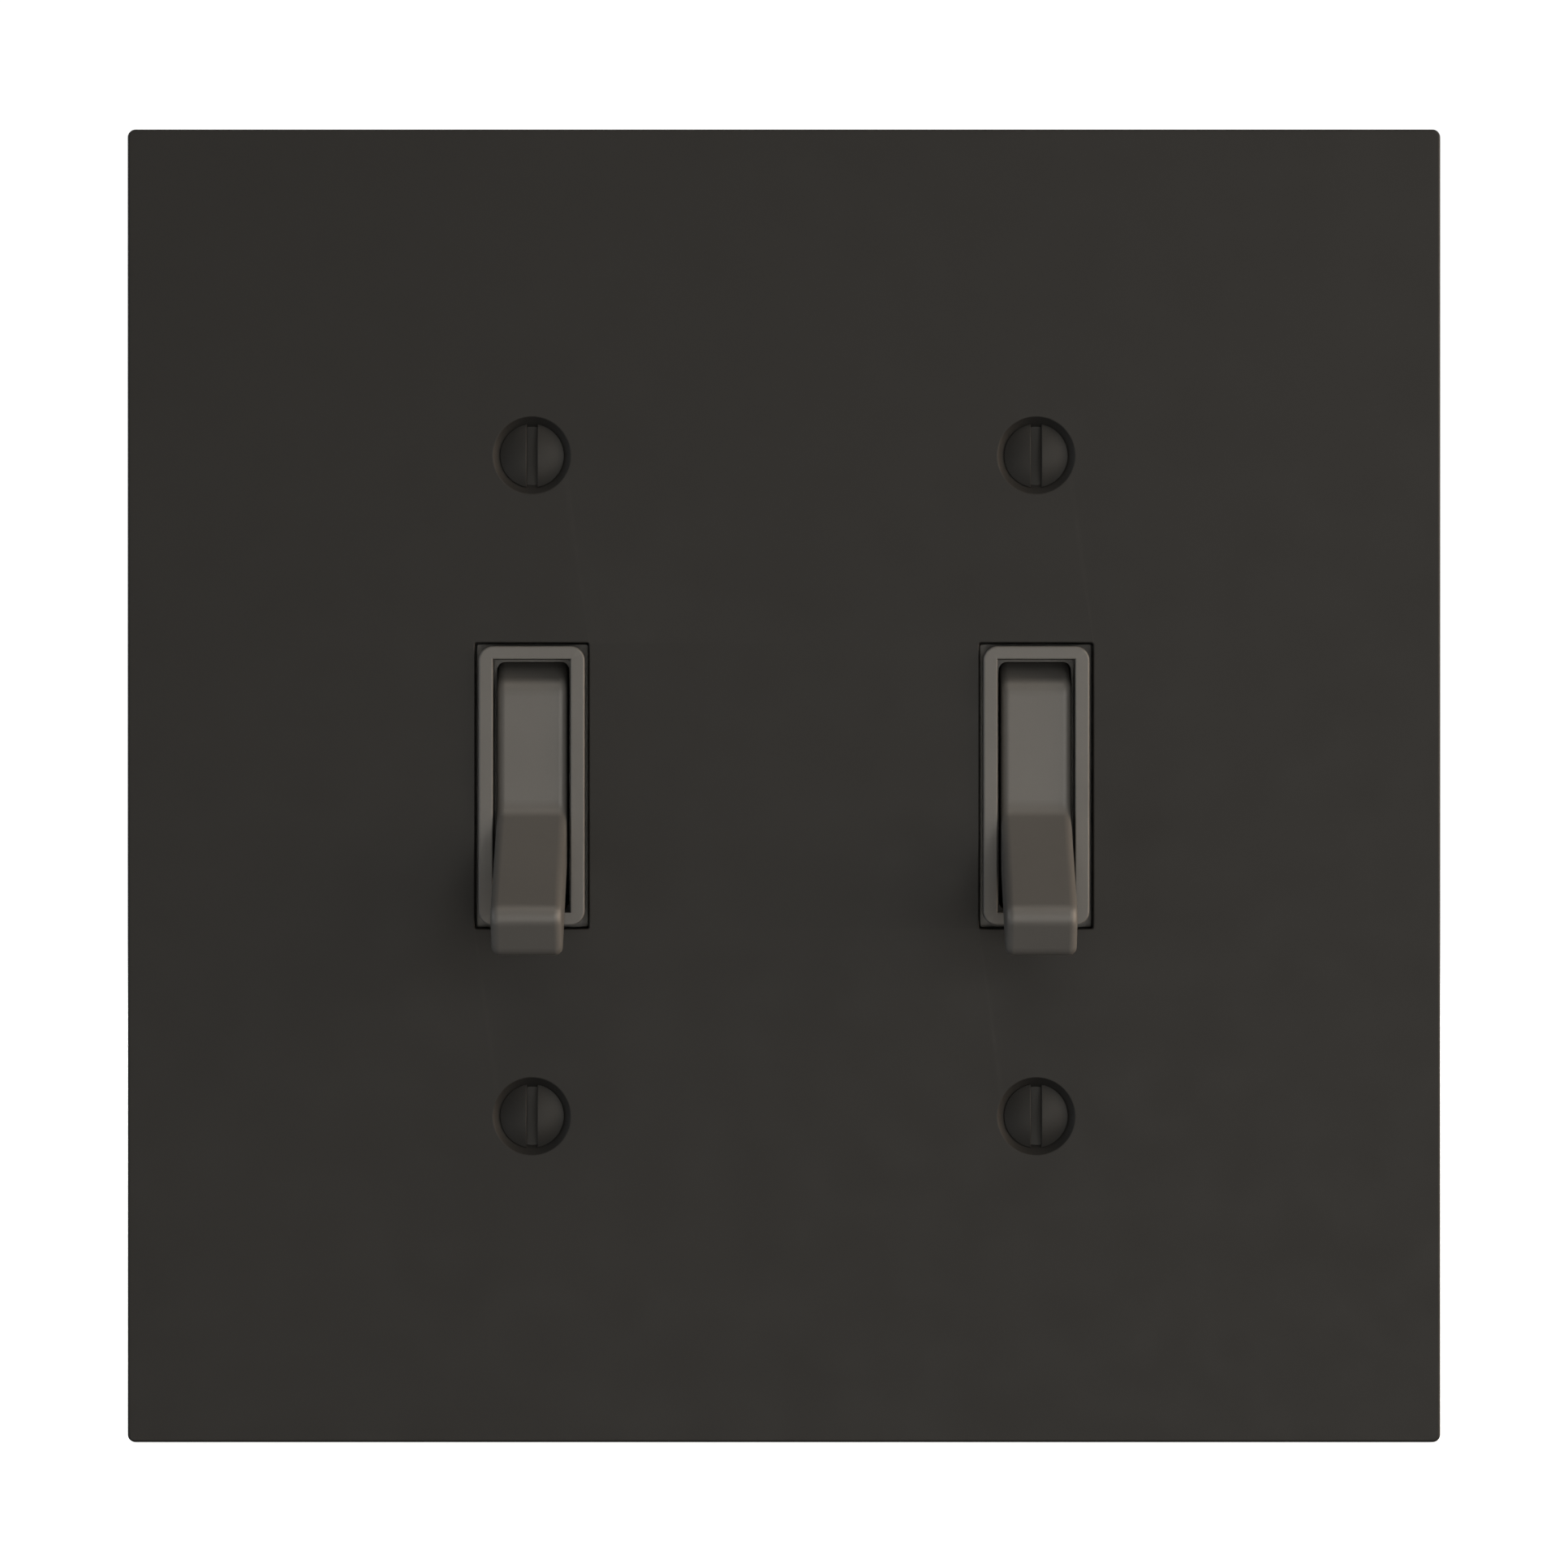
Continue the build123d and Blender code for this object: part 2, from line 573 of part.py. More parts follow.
def load_terminal():
    """Rises to a table under the moving contact."""
    width = (-BLADE_HALF_WIDTH, BLADE_HALF_WIDTH)
    table = CLOSED_Y + CONTACT_GAP + CONTACT_THICK
    far = -TERMINAL_Z - STRIP_HALF_WIDTH
    terminal = terminal_lead(-TERMINAL_Z)
    terminal += block(width, (table, FLOOR), (far, far + BLADE))
    return terminal + block(width, (table, table + BLADE), (far, -CONTACT_SPOT + TABLE_REACH))


def switch_pieces():
    """Every piece of one toggle switch, on its own centre line."""
    box_z = BOX_SCREW_PITCH / 2
    plate_z = PLATE_SCREW_PITCH / 2
    return {
        "mounting_strap": mounting_strap(),
        "front_cover": front_cover(),
        "rear_body": rear_body(),
        "body_rivets": body_rivets(),
        "toggle_lever": toggle_lever(),
        "detent_spring": detent_spring(),
        "detent_plunger": detent_plunger(),
        "contact_rocker": contact_rocker(),
        "moving_contact": moving_contact(),
        "fixed_contact": fixed_contact(),
        "common_terminal": common_terminal(),
        "load_terminal": load_terminal(),
        "common_terminal_screw": terminal_screw(TERMINAL_Z),
        "load_terminal_screw": terminal_screw(-TERMINAL_Z),
        "ground_screw": ground_screw(),
        "upper_box_screw": Pos(0, 0, box_z) * box_screw(),
        "lower_box_screw": Pos(0, 0, -box_z) * box_screw(),
        "screw_retainers": [Pos(0, 0, z) * screw_retainer() for z in (-box_z, box_z)],
        "upper_plate_screw": Pos(0, 0, plate_z) * plate_screw(),
        "lower_plate_screw": Pos(0, 0, -plate_z) * plate_screw(),
    }


def write(name, shape, x=0.0):
    pieces = shape if isinstance(shape, list) else [shape]
    solids = [solid for piece in pieces for solid in (Pos(x, 0, 0) * piece).solids()]
    export_step(solids[0] if len(solids) == 1 else Compound(solids), f"parts/{name}.step")


os.makedirs("parts", exist_ok=True)
write("wall_plate", wall_plate())
switch = switch_pieces()
for side, centre in (("left", -GANG_PITCH / 2), ("right", GANG_PITCH / 2)):
    for name, shape in switch.items():
        write(f"{side}_{name}", shape, centre)
print("fulcrum at y", round(FULCRUM_Y, 3), "saddle radius", round(SADDLE_R, 3))
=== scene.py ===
import json
import math

import bpy
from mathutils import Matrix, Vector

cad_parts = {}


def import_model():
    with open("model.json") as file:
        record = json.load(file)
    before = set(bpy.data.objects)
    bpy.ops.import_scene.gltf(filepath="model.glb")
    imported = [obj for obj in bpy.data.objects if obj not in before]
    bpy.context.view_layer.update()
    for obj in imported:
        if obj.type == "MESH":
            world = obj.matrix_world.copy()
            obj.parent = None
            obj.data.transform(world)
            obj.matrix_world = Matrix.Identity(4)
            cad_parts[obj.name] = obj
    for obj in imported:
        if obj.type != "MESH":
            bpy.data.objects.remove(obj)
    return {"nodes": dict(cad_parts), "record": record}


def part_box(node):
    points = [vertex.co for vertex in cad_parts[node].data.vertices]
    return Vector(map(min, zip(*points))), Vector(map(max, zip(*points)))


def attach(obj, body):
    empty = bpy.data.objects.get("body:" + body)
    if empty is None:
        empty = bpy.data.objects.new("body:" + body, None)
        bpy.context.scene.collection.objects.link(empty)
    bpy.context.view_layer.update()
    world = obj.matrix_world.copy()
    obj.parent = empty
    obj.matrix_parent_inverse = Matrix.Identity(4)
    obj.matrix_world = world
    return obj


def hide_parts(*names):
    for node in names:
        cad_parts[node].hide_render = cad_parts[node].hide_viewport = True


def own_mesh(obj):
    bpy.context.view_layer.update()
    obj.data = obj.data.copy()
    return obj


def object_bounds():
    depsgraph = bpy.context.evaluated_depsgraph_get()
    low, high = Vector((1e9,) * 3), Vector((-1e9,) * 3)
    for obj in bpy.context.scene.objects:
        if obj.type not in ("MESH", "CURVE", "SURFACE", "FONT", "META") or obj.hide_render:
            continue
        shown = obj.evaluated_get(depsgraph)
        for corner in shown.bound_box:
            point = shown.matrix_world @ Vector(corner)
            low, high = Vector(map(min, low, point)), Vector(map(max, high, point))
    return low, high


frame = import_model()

cad_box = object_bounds()
SIDES = ("left", "right")
MM = 0.001

# Node helpers. Every texture is placed by object coordinates, so its scale is in metres.

MIX_A, MIX_B, MIX_RESULT = 6, 7, 2  # colour sockets of a Mix node
NOISE_BAND = (0.3, 0.7)  # most of a noise lies in it
EDGE_BAND = (0.53, 0.62)  # pointiness from a flat to a sharp outer edge


class Graph:
    """A material under construction: its nodes, its shader and its coordinates."""

    def __init__(self, name):
        self.material = bpy.data.materials.new(name)
        self.material.use_nodes = True
        self.nodes = self.material.node_tree.nodes
        self.links = self.material.node_tree.links
        self.shader = self.nodes["Principled BSDF"]
        self.place = self.nodes.new("ShaderNodeTexCoord").outputs["Object"]

    def link(self, source, target):
        self.links.new(source, target)

    def stretched(self, scale):
        """Object coordinates scaled unevenly, for brushed or drawn surfaces."""
        mapping = self.nodes.new("ShaderNodeMapping")
        mapping.inputs["Scale"].default_value = scale
        self.link(self.place, mapping.inputs["Vector"])
        return mapping.outputs["Vector"]

    def noise(self, size, detail=3.0, place=None):
        """Noise whose features are about size metres across."""
        node = self.nodes.new("ShaderNodeTexNoise")
        node.inputs["Scale"].default_value = 1.0 / size
        node.inputs["Detail"].default_value = detail
        node.inputs["Roughness"].default_value = 0.55
        self.link(place or self.place, node.inputs["Vector"])
        return node.outputs["Fac"]

    def spots(self, size):
        """Cells about size metres across, as their distance from the nearest centre."""
        node = self.nodes.new("ShaderNodeTexVoronoi")
        node.inputs["Scale"].default_value = 1.0 / size
        self.link(self.place, node.inputs["Vector"])
        return node.outputs["Distance"]

    def spread(self, value, low, high, band=NOISE_BAND):
        """The part of a value that lies in a band, spread from low to high."""
        node = self.nodes.new("ShaderNodeMapRange")
        node.inputs["From Min"].default_value = band[0]
        node.inputs["From Max"].default_value = band[1]
        node.inputs["To Min"].default_value = low
        node.inputs["To Max"].default_value = high
        self.link(value, node.inputs["Value"])
        return node.outputs["Result"]

    def math(self, operation, first, second):
        node = self.nodes.new("ShaderNodeMath")
        node.operation = operation
        for socket, value in zip(node.inputs, (first, second)):
            if isinstance(value, (int, float)):
                socket.default_value = value
            else:
                self.link(value, socket)
        return node.outputs["Value"]

    def mix(self, factor, first, second):
        """Two colours, each an (r, g, b) or a socket, mixed by a socket."""
        node = self.nodes.new("ShaderNodeMix")
        node.data_type = "RGBA"
        self.link(factor, node.inputs["Factor"])
        for socket, value in zip((node.inputs[MIX_A], node.inputs[MIX_B]), (first, second)):
            if isinstance(value, tuple):
                socket.default_value = (*value, 1.0)
            else:
                self.link(value, socket)
        return node.outputs[MIX_RESULT]

    def edges(self):
        """How much an edge sticks out: 0 on flats and in hollows, 1 on sharp outer edges."""
        pointiness = self.nodes.new("ShaderNodeNewGeometry").outputs["Pointiness"]
        return self.spread(pointiness, 0.0, 1.0, EDGE_BAND)

    def bump(self, heights, distance):
        """Bumps of distance metres, from height sockets and the share that each has in it."""
        normal = None
        for height, share in heights:
            node = self.nodes.new("ShaderNodeBump")
            node.inputs["Strength"].default_value = 1.0
            node.inputs["Distance"].default_value = distance * share
            self.link(height, node.inputs["Height"])
            if normal is not None:
                self.link(normal, node.inputs["Normal"])
            normal = node.outputs["Normal"]
        self.link(normal, self.shader.inputs["Normal"])

    def set(self, **values):
        """Even values, set on the shader's own sockets."""
        for name, value in values.items():
            self.shader.inputs[name.replace("_", " ")].default_value = value


def shade(colour, factor):
    return tuple(channel * factor for channel in colour)


# Materials. Sizes are how wide the features are, tints multiply the colour, and sheens are
# roughnesses or what is added to them.

CLOUD_SIZE = 14 * MM
CLOUD_TINTS = (0.965, 1.035)
GRAIN_SIZE = 0.14 * MM
GRAIN_SHOWS = 0.35
GRAIN_TINT = 1.08
RUBBED_SIZE = 1.6 * MM
RUBBED_SHOWS = (0.25, 0.9)
RUBBED_TINT = 1.18
RUBBED_SHEEN = 0.06
HANDLED_SIZE = 5 * MM
HANDLED_SHEEN = 0.035
RIPPLE_SIZE = 2.2 * MM
RIPPLE_SHARE = 2.0
MOULDED_BUMP = 0.002 * MM


def moulded(name, colour, roughness, specular):
    """Satin plastic or enamel: faint cloudiness, fine grain, handled spots, paler edges."""
    g = Graph(name)
    cloud = g.noise(CLOUD_SIZE, detail=4.0)
    grain = g.noise(GRAIN_SIZE, detail=2.0)
    dark, pale = (shade(colour, tint) for tint in CLOUD_TINTS)
    tone = g.mix(g.spread(cloud, 0.0, 1.0), dark, pale)
    tone = g.mix(g.spread(grain, 0.0, GRAIN_SHOWS), tone, shade(colour, GRAIN_TINT))
    rubbed = g.math("MULTIPLY", g.edges(), g.spread(g.noise(RUBBED_SIZE), *RUBBED_SHOWS))
    g.link(g.mix(rubbed, tone, shade(colour, RUBBED_TINT)), g.shader.inputs["Base Color"])
    handled = g.noise(HANDLED_SIZE, detail=5.0)
    rough = g.spread(handled, roughness - HANDLED_SHEEN, roughness + HANDLED_SHEEN)
    rough = g.math("SUBTRACT", rough, g.math("MULTIPLY", rubbed, RUBBED_SHEEN))
    g.link(rough, g.shader.inputs["Roughness"])
    ripple = g.noise(RIPPLE_SIZE, detail=1.0)
    g.bump([(grain, 1.0), (ripple, RIPPLE_SHARE)], MOULDED_BUMP)
    g.set(Specular_IOR_Level=specular)
    return g.material


BRUSH_SIZE = 0.5 * MM
BRUSH_SHEEN = 0.07
CRYSTAL_SIZE = 1.8 * MM
CRYSTAL_BAND = (0.0, 0.7)
CRYSTAL_SHOWS = 0.4
CRYSTAL_TINT = 0.78
CRYSTAL_SHARE = 0.6
DULL_SIZE = 6 * MM
DULL_TINTS = (0.80, 1.06)
DULL_SHEENS = (-0.06, 0.08)
PLATED_EDGE_TINT = 1.3
METAL_BUMP = 0.004 * MM


def plated(name, colour, roughness, brushed=(1, 1, 1)):
    """Steel or silver, sheet or turned: brushed streaks, crystals and dull patches."""
    g = Graph(name)
    streaks = g.noise(BRUSH_SIZE, detail=4.0, place=g.stretched(brushed))
    crystals = g.spots(CRYSTAL_SIZE)
    patches = g.noise(DULL_SIZE, detail=5.0)
    dull, bright = (shade(colour, tint) for tint in DULL_TINTS)
    tone = g.mix(g.spread(patches, 0.0, 1.0), dull, bright)
    seen = g.spread(crystals, 0.0, CRYSTAL_SHOWS, CRYSTAL_BAND)
    tone = g.mix(seen, tone, shade(colour, CRYSTAL_TINT))
    tone = g.mix(g.edges(), tone, shade(colour, PLATED_EDGE_TINT))
    g.link(tone, g.shader.inputs["Base Color"])
    sheen = g.spread(patches, *(roughness + more for more in DULL_SHEENS))
    rough = g.math("ADD", g.spread(streaks, -BRUSH_SHEEN, BRUSH_SHEEN), sheen)
    g.link(rough, g.shader.inputs["Roughness"])
    g.bump([(streaks, 1.0), (crystals, CRYSTAL_SHARE)], METAL_BUMP)
    g.set(Metallic=1.0)
    return g.material


ROLLED_SIZE = 0.4 * MM
ROLLED_STRETCH = (1.0, 6.0, 1.0)
TARNISH_SIZE = 3.5 * MM
TARNISH_SHOWS = 0.75
TARNISH_TINT = (0.55, 0.45, 0.4)
BRASS_SHEENS = (0.34, 0.56)


def brass(name, colour):
    """Stamped brass with a rolled grain and brown tarnish that keeps off the edges."""
    g = Graph(name)
    rolled = g.noise(ROLLED_SIZE, detail=4.0, place=g.stretched(ROLLED_STRETCH))
    tarnish = g.noise(TARNISH_SIZE, detail=6.0)
    amount = g.math("SUBTRACT", g.spread(tarnish, 0.0, TARNISH_SHOWS), g.edges())
    brown = tuple(channel * tint for channel, tint in zip(colour, TARNISH_TINT))
    g.link(g.mix(amount, colour, brown), g.shader.inputs["Base Color"])
    g.link(g.spread(tarnish, *BRASS_SHEENS), g.shader.inputs["Roughness"])
    g.bump([(rolled, 1.0)], METAL_BUMP)
    g.set(Metallic=1.0)
    return g.material


FLOCK_SIZE = 0.3 * MM
FLOCK_STRETCH = (1.0, 1.0, 4.0)
FLOCK_TINTS = (0.7, 1.3)
BLOTCH_SIZE = 2.5 * MM
BLOTCH_SHOWS = 0.4
BLOTCH_TINT = 0.6
FIBRE_SHEENS = (0.7, 0.9)
FIBRE_BUMP = 0.03 * MM


def fibre(name, colour):
    """Pressed fibre card."""
    g = Graph(name)
    flock = g.noise(FLOCK_SIZE, detail=6.0, place=g.stretched(FLOCK_STRETCH))
    blotch = g.noise(BLOTCH_SIZE)
    dark, pale = (shade(colour, tint) for tint in FLOCK_TINTS)
    tone = g.mix(g.spread(flock, 0.0, 1.0), dark, pale)
    tone = g.mix(g.spread(blotch, 0.0, BLOTCH_SHOWS), tone, shade(colour, BLOTCH_TINT))
    g.link(tone, g.shader.inputs["Base Color"])
    g.link(g.spread(blotch, *FIBRE_SHEENS), g.shader.inputs["Roughness"])
    g.bump([(flock, 1.0)], FIBRE_BUMP)
    return g.material


# Plastic or enamel: colour, roughness, specular level
MOULDED = {
    "plate_finish": ((0.0195, 0.0191, 0.0186), 0.50, 0.25),
    "screw_paint": ((0.0200, 0.0196, 0.0190), 0.48, 0.25),
    "lever_plastic": ((0.100, 0.0975, 0.0940), 0.50, 0.75),
    "collar_plastic": ((0.100, 0.0975, 0.0940), 0.50, 0.75),
    "body_thermoset": ((0.030, 0.029, 0.028), 0.42, 0.35),
    "nylon": ((0.62, 0.59, 0.50), 0.45, 0.4),
    "ground_green": ((0.02, 0.16, 0.05), 0.30, 0.5),
}
# Steel or silver: colour, roughness
PLATED = {
    "rivet_steel": ((0.50, 0.50, 0.49), 0.30),
    "spring_steel": ((0.40, 0.40, 0.41), 0.28),
    "contact_silver": ((0.74, 0.73, 0.70), 0.28),
    "zinc_steel": ((0.52, 0.52, 0.50), 0.30),
}
STRAP_BRUSHED = (8, 1, 0.6)


def make_materials():
    made = {name: moulded(name, *look) for name, look in MOULDED.items()}
    made.update({name: plated(name, *look) for name, look in PLATED.items()})
    made["strap_steel"] = plated("strap_steel", (0.46, 0.46, 0.45), 0.38, STRAP_BRUSHED)
    made["brass"] = brass("brass", (0.36, 0.24, 0.09))
    made["terminal_brass"] = brass("terminal_brass", (0.42, 0.29, 0.12))
    made["fibre"] = fibre("fibre", (0.34, 0.13, 0.07))
    return made


def dress():
    """Gives each CAD node the material of its slot."""
    slots = {part["node"]: part["material_slot"] for part in frame["record"]["subparts"]}
    for name, node in frame["nodes"].items():
        node.data.materials.clear()
        node.data.materials.append(materials[slots[name]])


# Screw threads, which the solids leave plain

PITCH = 25.4 / 32 * MM  # of a number 6 screw, 32 threads to the inch
TURN_STEPS = 28
RIDGE_FOOT, RIDGE_CREST = 0.46, 0.07  # half widths of the ridge, as shares of the pitch
RIDGE_SUNK = 0.02 * MM  # how deep its foot lies in the shank
MAJOR_R = 1.753 * MM
ROOT_R = 1.40 * MM
SHANK_R = 1.72 * MM  # of the screws whose solids stay
SHANK_RIDGE = 0.14 * MM  # how far a ridge stands out from such a shank
TURNED_SIDES = 40
SHARP_ANGLE = math.radians(28)


def add_piece(name, points, faces, slot):
    """A mesh of the object's own, in the material of a slot, riding on the fixed body."""
    mesh = bpy.data.meshes.new(name)
    mesh.from_pydata(points, [], faces)
    piece = bpy.data.objects.new(name, mesh)
    bpy.context.scene.collection.objects.link(piece)
    finish_mesh(mesh, slot)
    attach(piece, "root")
    return piece


def finish_mesh(mesh, slot):
    """Gives a mesh its material, and shades it smooth except along its corners."""
    mesh.materials.clear()
    mesh.materials.append(materials[slot])
    mesh.shade_smooth()
    mesh.set_sharp_from_angle(angle=SHARP_ANGLE)


def into_wall(x, z):
    """Places a point by its depth, radius and angle about a screw that runs into the wall."""

    def place(along, radius, angle):
        return (x + radius * math.cos(angle), along, z + radius * math.sin(angle))

    return place


def towards_right(y, z):
    """The same for a screw that runs to the right, along X."""

    def place(along, radius, angle):
        return (along, y + radius * math.cos(angle), z + radius * math.sin(angle))

    return place


def thread(place, start, end, root, crest):
    """A helical ridge, closed all round, that grows and fades over half a turn."""
    turns = (end - start) / PITCH - 1
    steps = int(turns * TURN_STEPS)
    points, faces = [], []
    for step in range(steps + 1):
        turn = step / TURN_STEPS
        grown = min(1.0, 2 * turn, 2 * (turns - turn))
        tip = root + (crest - root) * max(grown, 0.0)
        section = (
            (-RIDGE_FOOT, root), (-RIDGE_CREST, tip), (RIDGE_CREST, tip), (RIDGE_FOOT, root)
        )
        for share, radius in section:
            along = start + PITCH * (turn + 0.5 + share)
            points.append(place(along, radius, 2 * math.pi * turn))
    for first in range(0, 4 * steps, 4):
        for corner in range(4):
            a, b = first + corner, first + (corner + 1) % 4
            faces.append((a, b, b + 4, a + 4))
    faces.append((3, 2, 1, 0))
    faces.append(tuple(4 * steps + corner for corner in range(4)))
    return points, faces


def turned(place, profile):
    """A turned solid from its profile of (depth, radius) pairs, closed at both ends."""
    points, faces = [], []
    for along, radius in profile:
        angles = (2 * math.pi * side / TURNED_SIDES for side in range(TURNED_SIDES))
        points += [place(along, radius, angle) for angle in angles]
    for ring in range(len(profile) - 1):
        first = ring * TURNED_SIDES
        for side in range(TURNED_SIDES):
            a, b = first + side, first + (side + 1) % TURNED_SIDES
            faces.append((a, a + TURNED_SIDES, b + TURNED_SIDES, b))
    last = (len(profile) - 1) * TURNED_SIDES
    faces.append(tuple(range(TURNED_SIDES)))
    faces.append(tuple(range(last + TURNED_SIDES - 1, last - 1, -1)))
    return points, faces


def carve(piece, points, faces):
    """Cuts a closed shape out of a piece."""
    mesh = bpy.data.meshes.new("cutter")
    mesh.from_pydata(points, [], faces)
    cutter = bpy.data.objects.new("cutter", mesh)
    bpy.context.scene.collection.objects.link(cutter)
    cut = piece.modifiers.new("cut", "BOOLEAN")
    cut.operation = "DIFFERENCE"
    cut.solver = "EXACT"
    cut.object = cutter
    seen = piece.evaluated_get(bpy.context.evaluated_depsgraph_get())
    piece.data = bpy.data.meshes.new_from_object(seen)
    piece.modifiers.clear()
    bpy.data.objects.remove(cutter)


# The head of a box screw, from its top down: depth in millimetres, share of the head's radius
HEAD_PROFILE = (
    (0.0, 0.2), (0.04, 0.55), (0.22, 0.78), (0.55, 0.93), (0.9, 1.0), (1.4, 1.0), (1.5, 0.97)
)
HEAD_DEPTH = 1.5 * MM
NECK_R = ROOT_R + 0.12 * MM
NECK_END, CORE_START = 3.4 * MM, 3.6 * MM  # from the head's top
BOX_THREAD_START = 3.3 * MM
BOX_THREAD_END = 0.3 * MM  # from the tip
TIP_LENGTH, TIP_ROUND = 0.7 * MM, 0.15 * MM
TIP_SHOULDER_R, TIP_R = 0.85 * MM, 0.7 * MM
SLOT_HALF_WIDTH = 0.5 * MM
SLOT_DEPTH = 0.8 * MM
SLOT_ABOVE = 1.0 * MM  # how far the cutter stands out of the head
SLOT_PAST = 1.2  # how far it reaches sideways, in head radii
BOX_FACES = [(0, 1, 3, 2), (4, 6, 7, 5), (0, 4, 5, 1), (2, 3, 7, 6), (0, 2, 6, 4), (1, 5, 7, 3)]


def box_screw(name, slot):
    """Truss-head screw of a strap's ear: turned head, neck and core, a slot, a rolled thread."""
    low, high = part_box(name)
    x, z = (low[0] + high[0]) / 2, (low[2] + high[2]) / 2
    top, tip, head_r = low[1], high[1], (high[0] - low[0]) / 2
    place = into_wall(x, z)
    profile = [(top + depth * MM, share * head_r) for depth, share in HEAD_PROFILE]
    profile += [(top + HEAD_DEPTH, NECK_R), (top + NECK_END, NECK_R)]
    profile += [(top + CORE_START, ROOT_R), (tip - TIP_LENGTH, ROOT_R)]
    profile += [(tip - TIP_ROUND, TIP_SHOULDER_R), (tip, TIP_R)]
    screw = add_piece(f"{name}_turned", *turned(place, profile), slot)
    half_length = SLOT_PAST * head_r
    corners = [
        (side, depth, height)
        for side in (x - half_length, x + half_length)
        for depth in (top - SLOT_ABOVE, top + SLOT_DEPTH)
        for height in (z - SLOT_HALF_WIDTH, z + SLOT_HALF_WIDTH)
    ]
    carve(screw, corners, BOX_FACES)
    finish_mesh(screw.data, slot)
    start, end = top + BOX_THREAD_START, tip - BOX_THREAD_END
    add_piece(f"{name}_thread", *thread(place, start, end, ROOT_R - RIDGE_SUNK, MAJOR_R), slot)
    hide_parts(name)


def shank_thread(name, place, start, end, slot):
    """Thread on a screw whose solid stays, as an extra piece round its shank."""
    ridge = thread(place, start, end, SHANK_R - RIDGE_SUNK, SHANK_R + SHANK_RIDGE)
    add_piece(f"{name}_thread", *ridge, slot)


PLATE_THREAD_START = 0.1 * MM  # from the wall plane, just behind the strap
PLATE_THREAD_END = 0.5 * MM  # from the screw's end


def plate_screw_thread(name):
    """Thread on the end of a plate screw, where it comes out behind the strap."""
    low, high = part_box(name)
    place = into_wall((low[0] + high[0]) / 2, (low[2] + high[2]) / 2)
    end = high[1] - PLATE_THREAD_END
    shank_thread(name, place, PLATE_THREAD_START, end, "screw_paint")


GROUND_HEAD, GROUND_TAB = 1.9 * MM, 1.5 * MM
GROUND_THREAD_END = 0.1 * MM


def ground_screw_thread(name):
    """Thread on a ground screw, between the strap's tab and the screw's end."""
    low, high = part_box(name)
    place = towards_right((low[1] + high[1]) / 2, (low[2] + high[2]) / 2)
    start, end = low[0] + GROUND_HEAD + GROUND_TAB, high[0] - GROUND_THREAD_END
    shank_thread(name, place, start, end, "ground_green")


def screw_details():
    for side in SIDES:
        for level in ("upper", "lower"):
            box_screw(f"{side}_{level}_box_screw", "zinc_steel")
            plate_screw_thread(f"{side}_{level}_plate_screw")
        ground_screw_thread(f"{side}_ground_screw")


# Detent springs, which the plungers press together

SPRING_SEAT = 4.0 * MM  # from the lever's pivot to the spring's fixed end


def detent_spring(side):
    """The coil again, as a piece of its own that rides on the lever."""
    name = f"{side}_detent_spring"
    joints = {joint["name"]: joint for joint in frame["record"]["behaviour"]["joints"]}
    pivot = joints[f"{side}_toggle"]["pos_m"]
    axis = joints[f"{side}_plunger_slide"]["axis"]
    coil = bpy.data.objects.new(f"{name}_coil", frame["nodes"][name].data.copy())
    bpy.context.scene.collection.objects.link(coil)
    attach(coil, f"{side}_lever")
    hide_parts(name)
    seat = [start + SPRING_SEAT * part for start, part in zip(pivot, axis)]
    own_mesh(coil)
    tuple(axis)


# Studio

# Softboxes aimed at the plate: name, azimuth from straight in front towards the right and
# elevation in degrees, distance and size in metres, power in watts, colour
LAMPS = (
    ("front_low", 4, -11, 1.4, (0.9, 0.38), 4.0, (1.0, 0.955, 0.87)),
    ("front_high", 3, 20, 1.4, (0.9, 0.34), 1.0, (1.0, 0.955, 0.87)),
    ("above_front", 3, 42, 1.4, (0.9, 0.40), 0.6, (1.0, 0.91, 0.79)),
    ("above", 0, 64, 1.4, (0.9, 0.45), 2.9, (1.0, 0.90, 0.77)),
    ("right_front", 28, 8, 1.4, (0.5, 0.7), 3.9, (1.0, 0.96, 0.89)),
    ("right_side", 58, 8, 1.2, (0.30, 0.8), 2.6, (1.0, 0.93, 0.84)),
    ("right_strip", 82, 6, 1.1, (0.60, 1.0), 10.0, (1.0, 0.79, 0.60)),
    ("left_low", -46, -22, 1.5, (1.1, 0.9), 2.2, (1.0, 0.98, 0.95)),
    ("left_strip", -80, 8, 1.1, (0.40, 0.9), 1.6, (0.88, 0.94, 1.0)),
    ("back_left", -140, 30, 1.4, (1.0, 0.8), 17.0, (1.0, 0.98, 0.95)),
    ("back_right", 135, 25, 1.4, (1.0, 0.8), 14.0, (0.95, 0.97, 1.0)),
    ("back_low", 178, -20, 1.4, (1.0, 0.6), 6.0, (1.0, 0.97, 0.93)),
)


def area_light(name, azimuth, elevation, distance, size, power, colour):
    light = bpy.data.lights.new(name, "AREA")
    light.shape = "RECTANGLE"
    light.size, light.size_y = size
    light.energy = power
    light.color = colour
    lamp = bpy.data.objects.new(name, light)
    lamp.visible_camera = False
    turn, rise = math.radians(azimuth), math.radians(elevation)
    level = distance * math.cos(rise)
    height = distance * math.sin(rise)
    lamp.location = (level * math.sin(turn), -level * math.cos(turn), height)
    lamp.rotation_euler = (-lamp.location).to_track_quat("-Z", "Y").to_euler()
    bpy.context.scene.collection.objects.link(lamp)


ROOM_FRONT = (0.018, 0.018, 0.018)
ROOM_BACK = (0.40, 0.41, 0.42)
ROOM_FULL = 0.7  # share of the way backwards at which the back's tone is reached
BACKDROP = (1.1, 1.1, 1.1)


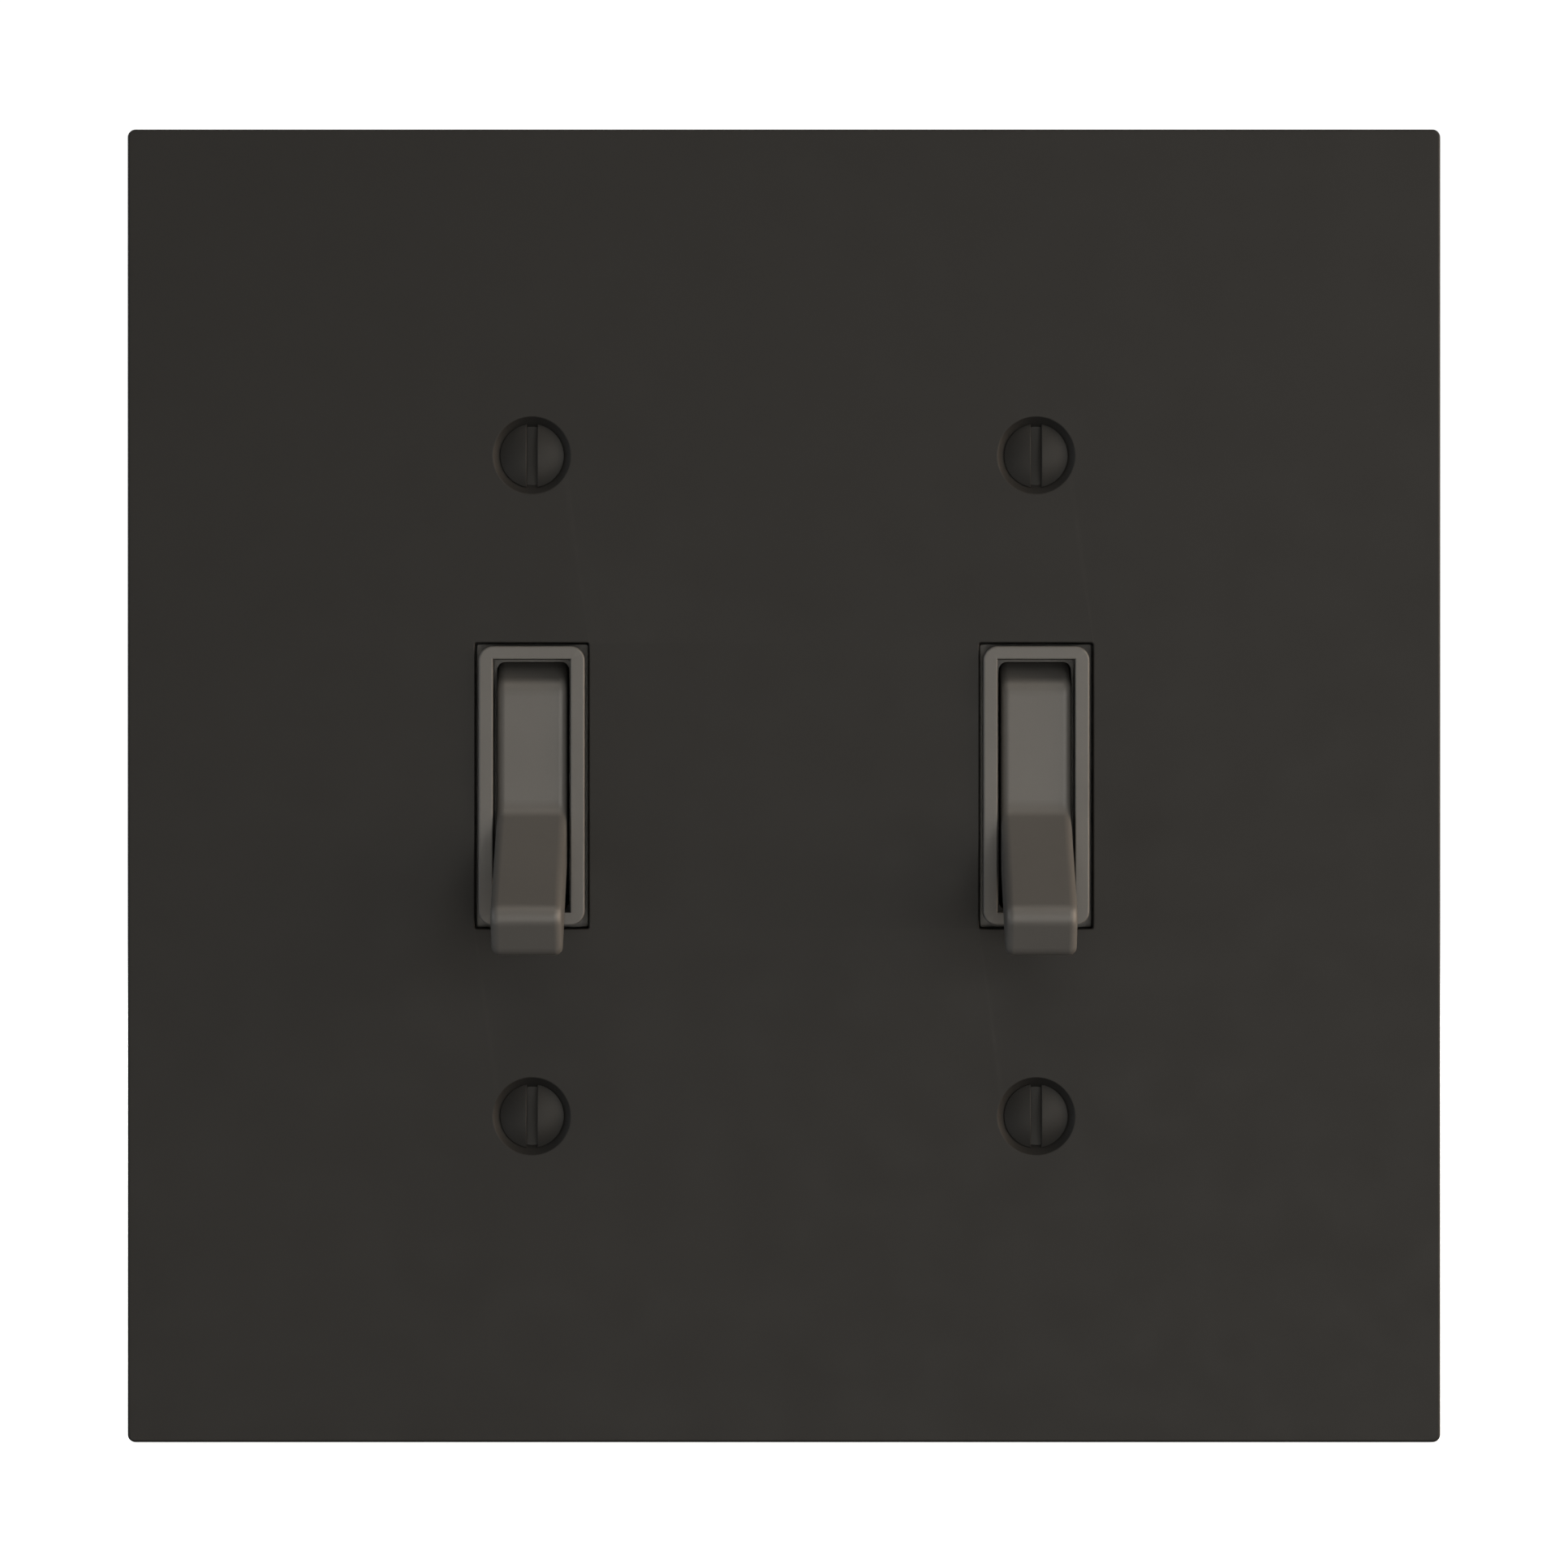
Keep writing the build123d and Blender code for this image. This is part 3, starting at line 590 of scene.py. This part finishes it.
def world():
    """A soft room for the light, dim in front and brighter behind, and white for the eye."""
    made = bpy.data.worlds.new("studio")
    bpy.context.scene.world = made
    made.use_nodes = True
    nodes, links = made.node_tree.nodes, made.node_tree.links
    room = nodes["Background"]
    direction = nodes.new("ShaderNodeSeparateXYZ")
    links.new(nodes.new("ShaderNodeTexCoord").outputs["Generated"], direction.inputs[0])
    depth = nodes.new("ShaderNodeMapRange")
    depth.inputs["From Min"].default_value = 0.0
    depth.inputs["From Max"].default_value = ROOM_FULL
    links.new(direction.outputs["Y"], depth.inputs["Value"])
    tone = nodes.new("ShaderNodeMix")
    tone.data_type = "RGBA"
    links.new(depth.outputs["Result"], tone.inputs["Factor"])
    tone.inputs[MIX_A].default_value = (*ROOM_FRONT, 1.0)
    tone.inputs[MIX_B].default_value = (*ROOM_BACK, 1.0)
    links.new(tone.outputs[MIX_RESULT], room.inputs["Color"])
    white = nodes.new("ShaderNodeBackground")
    white.inputs["Color"].default_value = (*BACKDROP, 1.0)
    seen = nodes.new("ShaderNodeLightPath").outputs["Is Camera Ray"]
    mix = nodes.new("ShaderNodeMixShader")
    links.new(seen, mix.inputs["Fac"])
    links.new(room.outputs["Background"], mix.inputs[1])
    links.new(white.outputs["Background"], mix.inputs[2])
    links.new(mix.outputs["Shader"], nodes["World Output"].inputs["Surface"])


FLOOR_SIZE = 8.0
FLOOR_GAP = 0.09 * MM  # below the plate's bottom edge
PAPER_SIZE = 20 * MM
PAPER_TONES = ((0.93, 0.93, 0.93), (0.95, 0.95, 0.95))
GLOW_NEAR, GLOW_FAR = 0.80, 1.05
GLOW_BAND = (0.25, 0.8)  # metres from the middle of the floor


def floor():
    """Pale paper that the eye sees, but that throws no light back on the object."""
    level = cad_box[0][2] - FLOOR_GAP
    bpy.ops.mesh.primitive_plane_add(size=FLOOR_SIZE, location=(0, 0, level))
    plane = bpy.context.object
    plane.name = "floor"
    g = Graph("floor_paper")
    g.link(g.mix(g.noise(PAPER_SIZE, detail=2.0), *PAPER_TONES), g.shader.inputs["Base Color"])
    g.set(Roughness=0.9, Specular_IOR_Level=0.1, Emission_Color=(1, 1, 1, 1))
    away = g.nodes.new("ShaderNodeVectorMath")
    away.operation = "LENGTH"
    g.link(g.place, away.inputs[0])
    glow = g.spread(away.outputs["Value"], GLOW_NEAR, GLOW_FAR, GLOW_BAND)
    g.link(glow, g.shader.inputs["Emission Strength"])
    plane.data.materials.append(g.material)
    plane.visible_diffuse = False
    plane.visible_glossy = False
    plane.visible_shadow = False


PLATE_DEPTH = 5.0 * MM  # from the wall to the plate's face
EYE_DISTANCE = 600.0 * MM  # from that face
EYE_HEIGHT = 0.165 * MM
FRAME_WIDTH = 143.11 * MM  # what the view takes in at that face
SENSOR_WIDTH = 36.0
CLIP_START, CLIP_END = 0.01, 20.0


def camera():
    data = bpy.data.cameras.new("camera")
    data.sensor_width = SENSOR_WIDTH
    data.lens = SENSOR_WIDTH * EYE_DISTANCE / FRAME_WIDTH
    data.clip_start = CLIP_START
    data.clip_end = CLIP_END
    eye = bpy.data.objects.new("camera", data)
    eye.location = (0, -(EYE_DISTANCE + PLATE_DEPTH), EYE_HEIGHT)
    eye.rotation_euler = (math.radians(90), 0, 0)
    bpy.context.scene.collection.objects.link(eye)
    bpy.context.scene.camera = eye


camera()
materials = make_materials()
dress()
screw_details()
for side in SIDES:
    detent_spring(side)
for lamp in LAMPS:
    area_light(*lamp)
world()
floor()
bpy.context.scene.view_settings.view_transform = "Standard"
